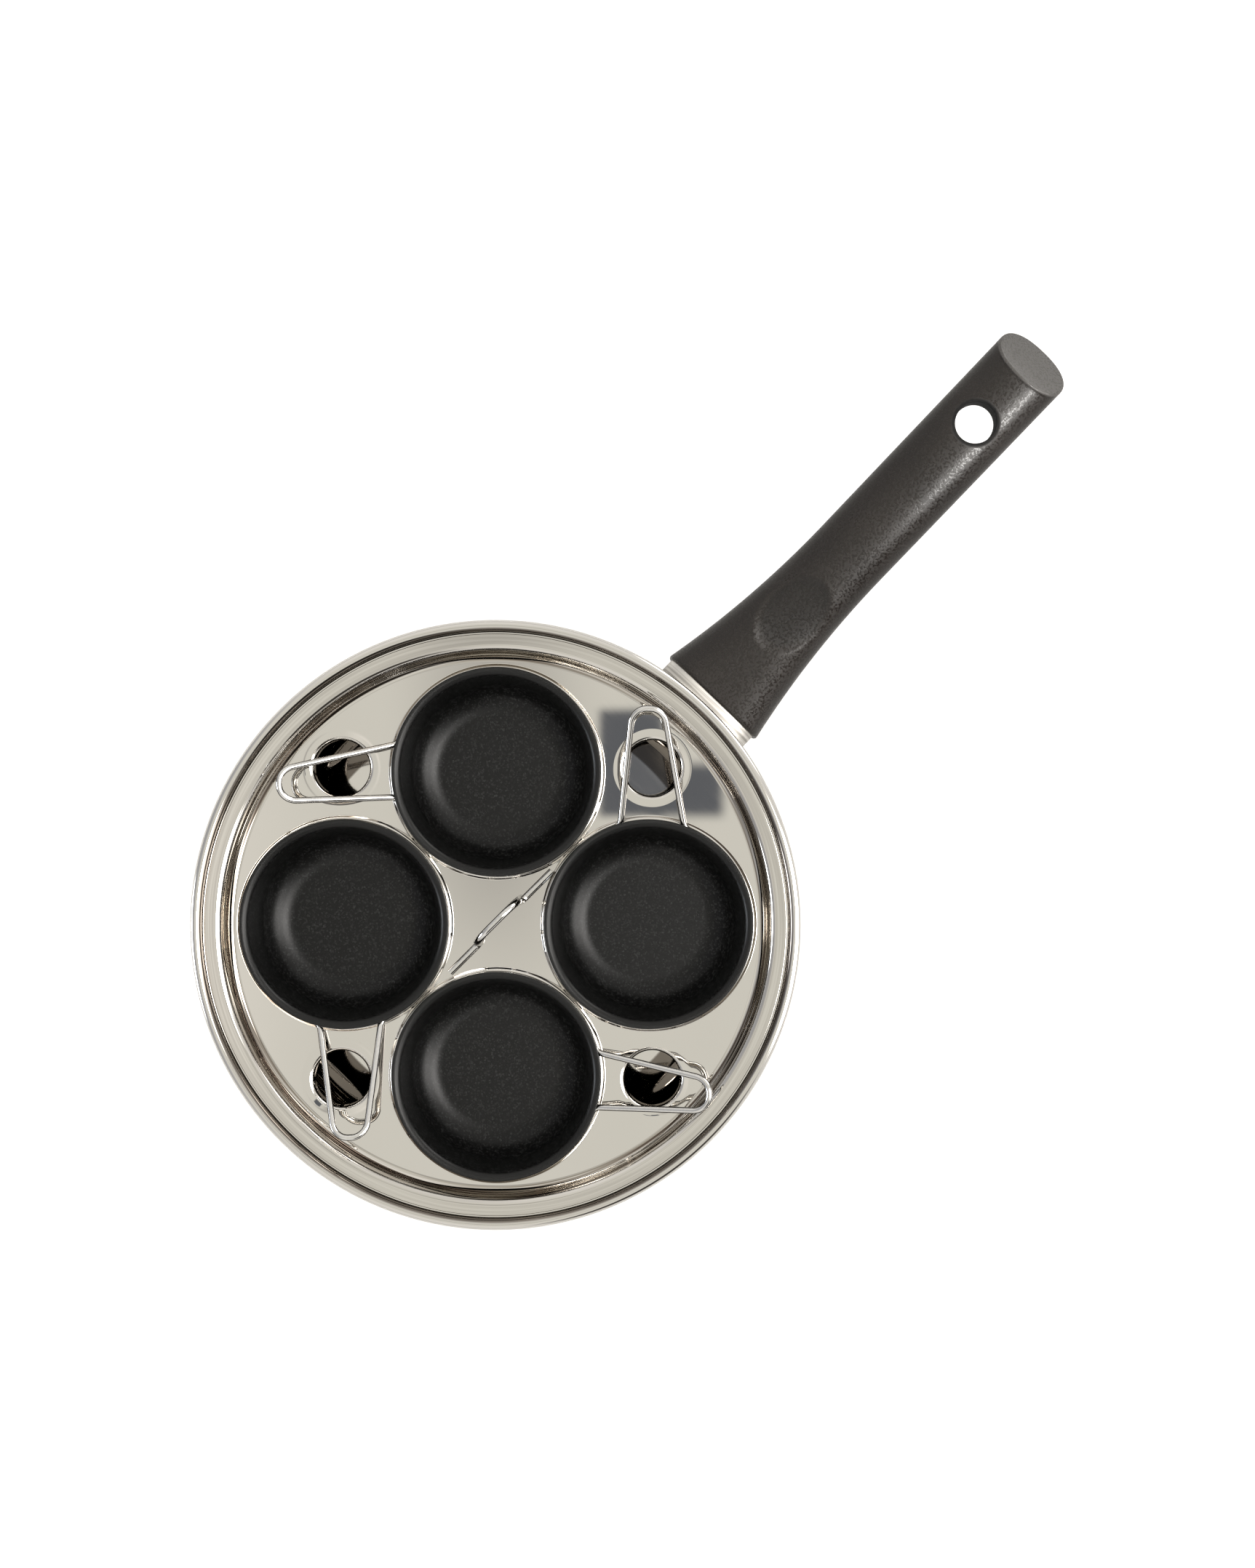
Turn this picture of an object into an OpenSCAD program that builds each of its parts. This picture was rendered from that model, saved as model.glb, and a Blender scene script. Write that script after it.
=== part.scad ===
// Egg poacher pan: a 20 cm steel pan, a drop-in tray and four lift-out coated cups on wire handles.
// Millimetres, +Z up, origin on the pan's axis at the underside of its base, handle along +X.

/* [Pan] */
// Outer diameter over the rolled rim
rim_d = 213; // [210:0.5:216]
// Height of the rim above the underside of the base
pan_h = 60; // [58:1:72]
// Thickness of the pan's sheet steel
pan_t = 0.8; // [0.6:0.1:1.0]
// Thickness of the rolled rim bead
bead_d = 4; // [3.6:0.1:4.2]
// Height of the tray ledge below the top of the rim
ledge_drop = 3.2; // [3:0.1:4]
// Radius of the corner between the floor and the wall
corner_r = 14; // [8:1:16]

/* [Base] */
// Thickness of the aluminium disc under the floor
core_t = 5; // [3:0.5:6]
// Radius of the base disc
base_r = 82; // [70:1:83]
// Thickness of the steel cap round the disc
cap_t = 0.6; // [0.4:0.1:0.8]

/* [Tray] */
// Radius of the tray flange
flange_r = 101.8; // [101:0.1:102]
// Depth of the tray floor below the flange
tray_depth = 7.5; // [6.5:0.5:10]
// Thickness of the tray sheet
tray_t = 0.7; // [0.5:0.1:0.8]
// Distance of each cup from the tray's centre
cup_pitch = 53.5; // [53.5:0.1:53.8]
// Distance of each finger hole from the tray's centre
finger_pitch = 77.6; // [76:0.2:77.6]
// Radius of the finger holes
finger_r = 9.9; // [8.5:0.1:10]
// Turn of the tray in the pan, from a finger hole over the handle
tray_turn = -1.3; // [-10:0.1:10]
// Wire thickness of the tray's lift handle
lift_wire_d = 2.5; // [2:0.1:2.6]
// Length of the lift handle over its feet
lift_len = 50.6; // [46:0.2:50.6]
// Width of the standing arch, between wire centres
lift_arch_w = 20.2; // [16:0.2:22]
// Height of the standing arch
lift_h = 19; // [14:1:24]
// Offset of the lift handle's middle along the line of its feet
lift_x = 1.5; // [-3:0.1:1.6]
// Offset of the lift handle's middle across its feet
lift_y = -0.6; // [-0.7:0.1:0.7]

/* [Cups] */
// Radius of the cup's lip
lip_r = 36.8; // [36.4:0.1:37]
// Radius of the cup's mouth inside the lip
mouth_r = 34; // [33.4:0.1:34]
// Radius where the cup's wall would meet its floor
cup_floor_r = 29.8; // [28:0.2:31]
// Depth of the cup
cup_depth = 24; // [20:1:26]
// Radius of the bend between the cup's floor and wall
cup_bend_r = 11; // [8:1:13]
// Thickness of the cup's coated sheet
cup_t = 0.8; // [0.6:0.1:0.8]
// Wire thickness of the cup handles
cup_wire_d = 2.2; // [1.8:0.1:2.2]
// Reach of each wire loop from the cup's centre
loop_reach = 74; // [66:0.5:75]
// Rise of the loop's tip above the cup's wire ring
loop_rise = 14; // [10:1:18]
// Width of the loop at its tip, between wire centres
loop_tip_w = 10.8; // [10.8:0.2:13]
// Radius of the loop's two bends at its tip
loop_tip_bend = 5.6; // [3:0.2:5.6]

/* [Handle] */
// Distance of the handle's root from the pan's axis
root_x = 110; // [109:0.5:114]
// Height of the handle's root
root_z = 43; // [40:0.5:44]
// Length of the handle along the ground, to the middle of its end face
handle_len = 157; // [140:1:165]
// Width of the handle at its root
root_w = 42.6; // [38:0.2:44]
// Width of the grip
grip_w = 27.8; // [24:0.2:30]
// Height of the handle at its root
root_h = 26; // [22:1:28]
// Height of the grip
grip_h = 18; // [15:0.5:20]
// Length over which the root flares
flare_len = 70; // [60:1:90]
// Rise of the handle at its root, in degrees
root_rise = 14; // [8:1:18]
// Rise of the handle at its end, in degrees
end_rise = 8; // [4:1:12]
// Tilt of the cut end face, in degrees from level
end_cut = 44; // [35:1:60]
// Distance of the hanging hole from the handle's root
hole_u = 129; // [120:1:135]
// Radius of the hanging hole
hole_r = 6.9; // [5:0.1:7.5]
// Width of the sloping edge round the hanging hole
hole_edge = 1.9; // [1:0.1:2.2]
// Distance of the thumb recess from the handle's root
thumb_u = 40.8; // [36:0.2:46]
// Length of the thumb recess
thumb_len = 30.6; // [24:0.2:34]
// Width of the thumb recess
thumb_w = 21.2; // [16:0.2:24]
// Depth of the thumb recess
thumb_depth = 1.2; // [0.5:0.1:1.5]

/* [Hidden] */

// Roundness of turned faces, and the angle between points on a bend
$fn = 96;
bend_step = 15;

// Colours
steel = [0.78, 0.75, 0.71];
coating = [0.07, 0.07, 0.075];
resin = [0.20, 0.185, 0.175];
aluminium = [0.66, 0.67, 0.68];

// Pan levels and radii
floor_z = cap_t + core_t;
bead_r = bead_d / 2;
bead_x = rim_d / 2 - bead_r;
bead_z = pan_h - bead_r;
riser_x = bead_x - bead_r + pan_t / 2;
wall_r = 98;
wall_out = wall_r + pan_t / 2;
ledge_z = pan_h - ledge_drop;
ledge_mid_z = ledge_z - pan_t / 2;
ledge_bend = 1.2;
riser_bend = 0.8;
curl_end = -130;
base_edge = 1.5;

// Tray levels and radii
seat_gap = 0.1;
flange_mid_z = ledge_z + seat_gap + tray_t / 2;
tray_mid_z = flange_mid_z - tray_depth;
tray_z = tray_mid_z + tray_t / 2;
step_top_r = 96.6;
step_foot_r = 95.3;
step_foot_bend = 3.6;
step_top_bend = 1.9;
collar_r = 37.75;
collar_slope = 0.8;
collar_flat = 0.4;
collar_bend = 0.5;
collar_lip_bend = 0.6;
collar_rise = 0.9;
collar_skirt = 2.4;
finger_edge_bend = 1.3;
finger_dish_w = 4.5;
finger_dish_bend = 14;
finger_dip = 0.35;
finger_skirt = 5.4;
finger_dish_r = finger_r + finger_dish_w;
lift_foot_bend = 2.6;
lift_arch_bend = 7.5;
lift_lean = 0.08;

// Cup levels, with the wire ring tucked under the flared lip
lip_flare = lip_r - mouth_r;
wire_r = cup_wire_d / 2;
ring_r = mouth_r + cup_t + wire_r;
ring_z = tray_z + collar_rise + seat_gap + wire_r;
lip_z = ring_z + lip_flare;
cup_hole_gap = 0.1;
cup_hole_r = mouth_r + cup_t + cup_hole_gap;
cup_count = 4;

// Cup wires: steps round the ring, and how far from its corner a leg starts to bend out of the ring
ring_steps = 20;
root_bend = 2.4;

// Each cup lies turned a little in its hole, and its loop has its own width, lean and extra reach
cup_turn = [-0.8, 3.5, -2.2, -2.2];
loop_root_w = [18.8, 21.8, 19.4, 22.6];
loop_lean = [5.8, -0.6, -1.9, 3.2];
loop_more = [0.1, -1.1, 0.3, 1.2];

// Handle hardware
root_edge = 1.3;
guard_t = 0.8;
guard_inset = 1.5;
tongue_w = 16;
tongue_t = 4;
tongue_len = 32;
pocket_gap = 0.1;
pad_t = 1.6;
pad_w = 32;
pad_h = 12;
pad_drop = 1.5;
screw_u = 20;
screw_r = 2;
screw_play = 0.3;
screw_head_r = 3.9;
screw_face_r = 3.1;
screw_head_h = 2.6;
washer_t = 0.8;
screw_seat = 7.5;
screw_end = 4.5;
slot_w = 1;
slot_deep = 1.4;

// Lengths that only need to pass right through what they cut or join
past = 1;
past_wall = 20;
past_part = 60;

function unit(v) = v / norm(v);

function turned(v, a) = [v.x * cos(a) - v.y * sin(a), v.x * sin(a) + v.y * cos(a)];

// Points along a bend of radius r round c
function arc(c, r, from, to) =
    let (n = max(2, ceil(abs(to - from) / bend_step)))
    [for (i = [0 : n]) c + r * [cos(from + (to - from) * i / n), sin(from + (to - from) * i / n)]];

// A line through points p, with its corner i bent to radius r[i]
function bent(p, r) =
    [for (i = [0 : len(p) - 1])
        each r[i] == 0 ? [p[i]] :
            let (a = unit(p[i - 1] - p[i]),
                 b = unit(p[i + 1] - p[i]),
                 half = acos(a * b) / 2,
                 c = p[i] + unit(a + b) * r[i] / sin(half),
                 s = p[i] + a * r[i] / tan(half) - c,
                 e = p[i] + b * r[i] / tan(half) - c,
                 turn = atan2(s.x * e.y - s.y * e.x, s * e),
                 n = max(2, ceil(abs(turn) / bend_step)))
            [for (k = [0 : n]) c + turned(s, turn * k / n)]];

// Sideways step at point i of a line that keeps a sheet's thickness even round corners
function side_step(p, i) =
    let (last = len(p) - 1,
         d0 = unit(i == 0 ? p[1] - p[0] : p[i] - p[i - 1]),
         d1 = unit(i == last ? p[last] - p[last - 1] : p[i + 1] - p[i]),
         m = unit(d0 + d1))
    [-m.y, m.x] / (m * d0);

// Outline of a sheet of thickness t whose middle follows line p
function sheet(p, t) =
    let (last = len(p) - 1)
    concat([for (i = [0 : last]) p[i] + side_step(p, i) * t / 2],
           [for (i = [last : -1 : 0]) p[i] - side_step(p, i) * t / 2]);

// A sheet-metal shape turned round the axis
module spun(p, t) {
    rotate_extrude()
        polygon(sheet(p, t));
}

// Triangles between rings of k points; the rings close into a loop or take end caps
function skin_faces(rings, k, looped) =
    concat([for (i = [0 : rings - (looped ? 1 : 2)], j = [0 : k - 1])
                let (a = i * k, b = (i + 1) % rings * k, j1 = (j + 1) % k)
                each [[a + j, b + j, b + j1], [a + j, b + j1, a + j1]]],
           looped ? [] : [[for (j = [0 : k - 1]) j], [for (j = [k - 1 : -1 : 0]) (rings - 1) * k + j]]);

// Round wire of radius r along points p, where up is never along the wire
module wire(p, r, up, looped, sides = 10) {
    n = len(p);
    points = [for (i = [0 : n - 1])
        let (before = looped ? p[(i + n - 1) % n] : p[max(i - 1, 0)],
             after = looped ? p[(i + 1) % n] : p[min(i + 1, n - 1)],
             along = unit(after - before),
             a = unit(cross(up, along)),
             b = cross(along, a))
        for (j = [0 : sides - 1]) p[i] + r * (a * cos(360 * j / sides) + b * sin(360 * j / sides))];
    polyhedron(points, skin_faces(n, sides, looped), convexity = 6);
}

// Places the four cups, and the four finger holes between them
module at_cup(n) {
    rotate(tray_turn + 45 + 90 * (n - 1))
        translate([cup_pitch, 0, 0])
            rotate(90 + cup_turn[n - 1])
                children();
}

module at_fingers() {
    for (n = [0 : cup_count - 1])
        rotate(tray_turn + 90 * n)
            translate([finger_pitch, 0, 0])
                children();
}

// Pan shell: floor, wall, ledge for the tray and rolled rim
module pan_body() {
    shell = concat(
        bent([[0, floor_z + pan_t / 2], [wall_r, floor_z + pan_t / 2], [wall_r, ledge_mid_z],
              [riser_x, ledge_mid_z], [riser_x, bead_z]], [0, corner_r, ledge_bend, riser_bend, 0]),
        [for (i = [1 : len(rim_curl) - 1]) rim_curl[i]]);
    color(steel)
        spun(shell, pan_t);
}

rim_curl = arc([bead_x, bead_z], bead_r - pan_t / 2, 180, curl_end);

// Heat-spreading disc under the floor
module base_core() {
    color(aluminium)
        rotate_extrude()
            polygon([[0, cap_t], [base_r - base_edge, cap_t], [base_r, cap_t + base_edge],
                     [base_r, floor_z], [0, floor_z]]);
}

// Steel cap pressed round the disc
module base_cap() {
    color(steel)
        rotate_extrude()
            polygon([[0, 0], [base_r - base_edge + cap_t / 4, 0], [base_r + cap_t, base_edge + cap_t * 0.75],
                     [base_r + cap_t, floor_z], [base_r, floor_z], [base_r, cap_t + base_edge],
                     [base_r - base_edge, cap_t], [0, cap_t]]);
}

// Centre line of the handle at distance u from its root, its slope and its flare towards the root
function handle_z(u) = root_z + u * tan(root_rise - (root_rise - end_rise) / 2 * u / handle_len);
function handle_slope(u) = root_rise - (root_rise - end_rise) * u / handle_len;
function flare(u) = u < flare_len ? pow(1 - u / flare_len, 2) : 0;

// Tilt of the handle's sections: upright at the root, square to the handle past the flare
function section_tilt(u) = handle_slope(u) * (1 - flare(u));

// Half width, half height and squareness of the handle's section
function half_w(u) = grip_w / 2 + (root_w - grip_w) / 2 * flare(u);
function half_h(u) = grip_h / 2 + (root_h - grip_h) / 2 * flare(u);
function squareness(u) = 2.3 + 0.9 * flare(u);

// Point of a rounded rectangle of half sizes a and b at angle t
function round_box(a, b, n, t) =
    [a * sign(cos(t)) * pow(abs(cos(t)), 2 / n), b * sign(sin(t)) * pow(abs(sin(t)), 2 / n)];

// How far the thumb recess dips at distance u and offset y
function thumb_dip(u, y) =
    let (q = pow(2 * (u - thumb_u) / thumb_len, 2) + pow(2 * y / thumb_w, 2))
    q < 1 ? thumb_depth * pow(1 - q, 0.6) : 0;

// Puts a child in the handle's own frame at distance u: x along it, z square to it
module on_handle(u) {
    translate([root_x + u, 0, handle_z(u)])
        rotate([0, -handle_slope(u), 0])
            children();
}

// Lofted grip, wide at the root, with a rounded root edge and a thumb recess on top
module handle_blank() {
    k = 36;
    stations = concat([0, 0.3, 1] * root_edge, [for (u = [4 : 4 : 24]) u], [for (u = [26 : 2.5 : 58]) u],
                      [for (u = [64 : 8 : handle_len + grip_h]) u]);
    points = [for (u = stations)
        let (inset = u < root_edge ? root_edge - sqrt(root_edge * root_edge - pow(root_edge - u, 2)) : 0,
             s = section_tilt(u))
        for (j = [0 : k - 1])
            let (q = round_box(half_w(u) - inset, half_h(u) - inset, squareness(u), 360 * j / k),
                 z = q.y - (q.y > 0 ? thumb_dip(u, q.x) : 0))
            [root_x + u - z * sin(s), q.x, handle_z(u) + z * cos(s)]];
    polyhedron(points, skin_faces(len(stations), k, false), convexity = 4);
}

// Moulded handle with its cut end, hanging hole, bracket pocket and screw hole
module handle() {
    color(resin)
        difference() {
            handle_blank();
            translate([root_x + handle_len, 0, handle_z(handle_len)])
                rotate([0, end_cut, 0])
                    translate([-past_part / 2, -past_part / 2, 0])
                        cube(past_part);
            on_handle(hole_u) {
                translate([0, 0, -grip_h])
                    cylinder(r = hole_r, h = 2 * grip_h);
                for (side = [0, 180])
                    rotate([side, 0, 0])
                        translate([0, 0, grip_h / 2 - hole_edge])
                            cylinder(r1 = hole_r, r2 = hole_r + 2 * hole_edge, h = 2 * hole_edge);
            }
            on_handle(0) {
                translate([-past, -tongue_w / 2 - pocket_gap, -tongue_t / 2 - pocket_gap])
                    cube([tongue_len + 2 * past, tongue_w + 2 * pocket_gap, tongue_t + 2 * pocket_gap]);
                translate([screw_u, 0, -screw_seat - past_part])
                    cylinder(r = screw_head_r + 1, h = past_part);
                translate([screw_u, 0, -screw_seat - past])
                    cylinder(r = screw_r + screw_play, h = screw_seat + screw_end + 2 * past);
            }
        }
}

// Section of the steel guard between the pan and the handle's root
module guard_section(inset) {
    k = 48;
    a = root_w / 2 - guard_inset - inset;
    b = root_h / 2 - guard_inset - inset;
    polygon([for (j = [0 : k - 1]) round_box(a, b, squareness(0), 360 * j / k)]);
}

// Steel guard: a shaped sleeve with an end plate that the handle bears on
module flame_guard() {
    color(steel)
        difference() {
            translate([root_x, 0, root_z])
                rotate([90, 0, -90]) {
                    linear_extrude(guard_t)
                        guard_section(0);
                    linear_extrude(past_wall)
                        difference() {
                            guard_section(0);
                            guard_section(guard_t);
                        }
                }
            on_handle(0)
                translate([-2 * guard_t, -tongue_w / 2 - pocket_gap, -tongue_t / 2 - pocket_gap])
                    cube([4 * guard_t, tongue_w + 2 * pocket_gap, tongue_t + 2 * pocket_gap]);
            cylinder(r = wall_out, h = 2 * pan_h);
        }
}

// Welded bracket: a curved pad on the wall and a tongue into the handle
module handle_bracket() {
    color(steel)
        difference() {
            union() {
                intersection() {
                    cylinder(r = wall_out + pad_t, h = 2 * pan_h);
                    translate([0, -pad_w / 2, root_z - pad_drop - pad_h / 2])
                        cube([root_x, pad_w, pad_h]);
                }
                on_handle(0)
                    translate([-past_wall, -tongue_w / 2, -tongue_t / 2])
                        cube([past_wall + tongue_len, tongue_w, tongue_t]);
            }
            cylinder(r = wall_out, h = 2 * pan_h);
            on_handle(0)
                translate([screw_u, 0, -tongue_t])
                    cylinder(r = screw_r, h = 2 * tongue_t);
        }
}

module handle_washer() {
    color(steel)
        on_handle(0)
            translate([screw_u, 0, -screw_seat - washer_t])
                difference() {
                    cylinder(r = screw_head_r, h = washer_t);
                    translate([0, 0, -past])
                        cylinder(r = screw_r, h = washer_t + 2 * past);
                }
}

// Cross-head screw up through the washer, the handle and the tongue
module handle_screw() {
    seat = screw_seat + washer_t;
    color(steel)
        on_handle(0)
            translate([screw_u, 0, -seat])
                difference() {
                    union() {
                        cylinder(r = screw_r, h = seat + screw_end);
                        translate([0, 0, -screw_head_h])
                            cylinder(r1 = screw_face_r, r2 = screw_head_r, h = screw_head_h);
                    }
                    for (a = [0, 90])
                        rotate(a)
                            translate([-screw_head_r / 2, -slot_w / 2, -screw_head_h - past])
                                cube([screw_head_r, slot_w, slot_deep + past]);
                }
}

// Tray: stepped dish with raised seats for the cups and drawn finger holes
module tray() {
    rim_line = bent([[0, tray_mid_z], [step_foot_r, tray_mid_z], [step_top_r, flange_mid_z],
                     [flange_r, flange_mid_z]], [0, step_foot_bend, step_top_bend, 0]);
    hole_mid_r = cup_hole_r + tray_t / 2;
    slope_r = collar_r - collar_flat;
    seat_line = bent([[collar_r, tray_mid_z], [slope_r, tray_mid_z],
                      [slope_r - collar_slope, tray_mid_z + collar_rise],
                      [hole_mid_r, tray_mid_z + collar_rise],
                      [hole_mid_r, tray_mid_z - collar_skirt]],
                     [0, collar_bend, collar_bend, collar_lip_bend, 0]);
    finger_mid_r = finger_r + tray_t / 2;
    finger_line = bent([[finger_dish_r, tray_mid_z], [finger_dish_r - 1, tray_mid_z],
                        [finger_mid_r, tray_mid_z - finger_dip],
                        [finger_mid_r, tray_mid_z - finger_skirt]],
                       [0, finger_dish_bend, finger_edge_bend, 0]);
    color(steel)
        union() {
            difference() {
                spun(rim_line, tray_t);
                for (n = [1 : cup_count])
                    at_cup(n)
                        translate([0, 0, tray_mid_z - past])
                            cylinder(r = collar_r, h = 2 * past);
                at_fingers()
                    translate([0, 0, tray_mid_z - past])
                        cylinder(r = finger_dish_r, h = 2 * past);
            }
            for (n = [1 : cup_count])
                at_cup(n)
                    spun(seat_line, tray_t);
            at_fingers()
                spun(finger_line, tray_t);
        }
}

// Lift handle: one wire, two feet welded flat on the tray and a finger arch standing between them
module lift_handle() {
    r = lift_wire_d / 2;
    foot = lift_len / 2;
    leg = lift_arch_w / 2;
    line = bent([[-foot, r], [-leg, r], [-leg, lift_h - r], [leg, lift_h - r], [leg, r], [foot, r]],
                [0, lift_foot_bend, lift_arch_bend, lift_arch_bend, lift_foot_bend, 0]);
    color(steel)
        rotate(tray_turn)
            translate([lift_x, lift_y, tray_z])
                wire([for (q = line) [q.x, lift_lean * (q.y - r), q.y]], r, [0, 1, 0], false, 12);
}

// Coated cup with a flared lip
module cup(n) {
    mid = cup_t / 2;
    line = bent([[0, lip_z - cup_depth - mid], [cup_floor_r + mid, lip_z - cup_depth - mid],
                 [mouth_r + mid, lip_z - mid], [lip_r, lip_z - mid]],
                [0, cup_bend_r, lip_flare - mid - 0.2, 0]);
    color(coating)
        at_cup(n)
            spun(line, cup_t);
}

// Points on a smooth corner from a to c, drawn towards b
function corner(a, b, c) =
    [for (t = [0.25, 0.5, 0.75]) (1 - t) * (1 - t) * a + 2 * t * (1 - t) * b + t * t * c];

// One wire: a ring under the cup's lip whose ends bend out into the two legs of a raised, leaning loop
module cup_wire(n) {
    side = loop_root_w[n - 1] / 2;
    tip = loop_tip_w / 2;
    lean = loop_lean[n - 1];
    root = sqrt(ring_r * ring_r - side * side);
    reach = loop_reach + loop_more[n - 1];
    gap = asin(side / ring_r) + root_bend / ring_r * 180 / PI;
    ring = [for (i = [0 : ring_steps])
        let (a = gap + (360 - 2 * gap) * i / ring_steps)
        ring_r * [cos(a), sin(a), 0]];
    flat = bent([[root, -side], [reach, lean - tip], [reach, lean + tip], [root, side]],
                [0, loop_tip_bend, loop_tip_bend, 0]);
    loop = [for (q = flat) [q.x, q.y, loop_rise * (q.x - root) / (reach - root)]];
    last = len(loop) - 1;
    leave = loop[0] + root_bend * unit(loop[1] - loop[0]);
    arrive = loop[last] + root_bend * unit(loop[last - 1] - loop[last]);
    line = concat(ring, corner(ring[ring_steps], loop[0], leave), [leave],
                  [for (i = [1 : last - 1]) loop[i]], [arrive], corner(arrive, loop[last], ring[0]));
    color(steel)
        at_cup(n)
            translate([0, 0, ring_z])
                wire(line, wire_r, [0, 0, 1], true);
}

pan_body();
base_core();
base_cap();
handle_bracket();
flame_guard();
handle();
handle_washer();
handle_screw();
tray();
lift_handle();
cup(1);  // cup_1
cup(2);  // cup_2
cup(3);  // cup_3
cup(4);  // cup_4
cup_wire(1);  // cup_wire_1
cup_wire(2);  // cup_wire_2
cup_wire(3);  // cup_wire_3
cup_wire(4);  // cup_wire_4
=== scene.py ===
"""Looks of the egg poacher pan: mirror-steel pan and tray, coated cups on wires, grained handle.

Sizes are in millimetres, and turned into metres where a mesh is made. The floor and the lamp,
and the height below which the painted shade on the pan's floor lies, are in metres.
"""

import math

import bpy
import numpy as np
from mathutils import Matrix, Vector
from mathutils.geometry import delaunay_2d_cdt


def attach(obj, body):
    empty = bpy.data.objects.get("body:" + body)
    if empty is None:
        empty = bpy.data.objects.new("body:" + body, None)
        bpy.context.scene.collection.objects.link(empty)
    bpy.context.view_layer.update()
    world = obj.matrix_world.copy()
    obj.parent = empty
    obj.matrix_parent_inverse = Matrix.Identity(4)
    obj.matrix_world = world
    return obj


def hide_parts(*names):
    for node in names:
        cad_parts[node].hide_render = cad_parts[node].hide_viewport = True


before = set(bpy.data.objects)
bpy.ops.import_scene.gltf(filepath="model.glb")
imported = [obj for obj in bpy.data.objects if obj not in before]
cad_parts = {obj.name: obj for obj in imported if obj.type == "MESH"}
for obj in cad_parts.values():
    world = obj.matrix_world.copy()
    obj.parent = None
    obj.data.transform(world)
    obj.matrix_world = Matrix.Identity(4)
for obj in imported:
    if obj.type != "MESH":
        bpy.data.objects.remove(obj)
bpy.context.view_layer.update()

MM = 0.001

# Photograph and camera
PHOTO_H = 2156
SENSOR = 36.0
FOCAL_PX = 2765.0
CAMERA_AT = (67.4, 0.7, 760.0)
IMAGE_TURN = 46.3

# Sheet thicknesses and main sizes, as the solids have them
PAN_T = 0.8
TRAY_T = 0.7
CUP_T = 0.8
RIM_R = 106.5
PAN_H = 60.0
BEAD_R = 2.0
WALL_R = 98.0
CORNER_R = 14.0
FLOOR_Z = 5.6
LEDGE_Z = 56.8
LEDGE_BEND = 1.2
RISER_BEND = 0.8
BEAD_END = -130
CAP_T = 0.6
CAP_R = 82.6
CAP_BEND = 1.8
FLANGE_R = 101.8
FLANGE_MID_Z = 57.25
TRAY_MID_Z = 49.75
TRAY_Z = TRAY_MID_Z + TRAY_T / 2
TRAY_TURN = -1.3
STEP_FOOT_R = 95.3
STEP_TOP_R = 96.6
STEP_FOOT_BEND = 3.6
STEP_TOP_BEND = 1.9
CUP_PITCH = 53.5
FINGER_PITCH = 77.6
FINGER_R = 9.9
FINGER_DISH = 4.5
COLLAR_R = 38.5
COLLAR_RISE = 0.9
LIP_R = 36.8
MOUTH_R = 34.0
CUP_FLOOR_R = 29.8
CUP_DEPTH = 24.0
CUP_BEND_R = 11.0
WIRE_R = 1.1
LIFT_WIRE_R = 1.25
RING_R = MOUTH_R + CUP_T + WIRE_R
RING_Z = TRAY_Z + COLLAR_RISE + 0.1 + WIRE_R
LIP_Z = RING_Z + LIP_R - MOUTH_R
CUP_TURN = (-0.8, 3.5, -2.2, -2.2)
LOOP_ROOT_W = (18.8, 21.8, 19.4, 22.6)
LOOP_LEAN = (5.8, -0.6, -1.9, 3.2)
LOOP_REACH = (74.1, 72.9, 74.3, 75.2)
LOOP_TIP_W = 10.8
LOOP_TIP_BEND = 5.6
LOOP_RISE = 14.0
ROOT_BEND = 2.4

# Handle, from its root outwards
ROOT_X = 110.0
ROOT_Z = 43.0
HANDLE_LEN = 157.0
ROOT_W = 42.6
GRIP_W = 27.8
ROOT_H = 26.0
GRIP_H = 18.0
FLARE_LEN = 70.0
ROOT_RISE = 14.0
END_RISE = 8.0
END_CUT = 44.0
HOLE_U = 129.0
HOLE_R = 6.9
HOLE_EDGE = 1.9
HOLE_SOFT = HOLE_EDGE + 0.6
THUMB_U = 40.8
THUMB_SIZE = (30.6, 21.2)
THUMB_DEPTH = 1.2
SCREW_U = 20.0
SCREW_SEAT = 7.5
SCREW_WELL_R = 4.9
CUTTER_WIDE = HOLE_R + HOLE_EDGE + 4
CUTTER_PAST = 6.0
WELL_PAST = 40.0
GUARD_INSET = 1.5
GUARD_T = 0.8
GUARD_SQUARENESS = 3.2
ROOT_EDGE = 1.3
END_EDGE = 0.9
GRIP_SQUARENESS = 2.3
FLARE_SQUARENESS = 0.9
SKIN_TRIM = 0.14

# Seats and finger holes of the tray: steps in from their foot, bends, and how far they go down
SEAT_SHOULDER = 0.5
SEAT_INSET = 1.4
SEAT_BEND = 0.8
SEAT_EDGE_BEND = 0.6
SEAT_DROP = 2.4
SEAT_GAP = 0.1
SEAT_MEETS_FROM = COLLAR_R - 3
FINGER_SHOULDER = 1.0
FINGER_SINK = 0.35
FINGER_BEND = 14.0
FINGER_EDGE_BEND = 1.3
FINGER_DROP = 5.4

# Lift handle: feet, legs and height from the middle, its lean, and where it stands on the tray
LIFT_FOOT = 25.3
LIFT_LEG = 10.1
LIFT_HEIGHT = 19.0
LIFT_LEAN = 0.08
LIFT_FOOT_BEND = 2.6
LIFT_ARCH_BEND = 7.5
LIFT_AT = (1.5, -0.6)

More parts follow.
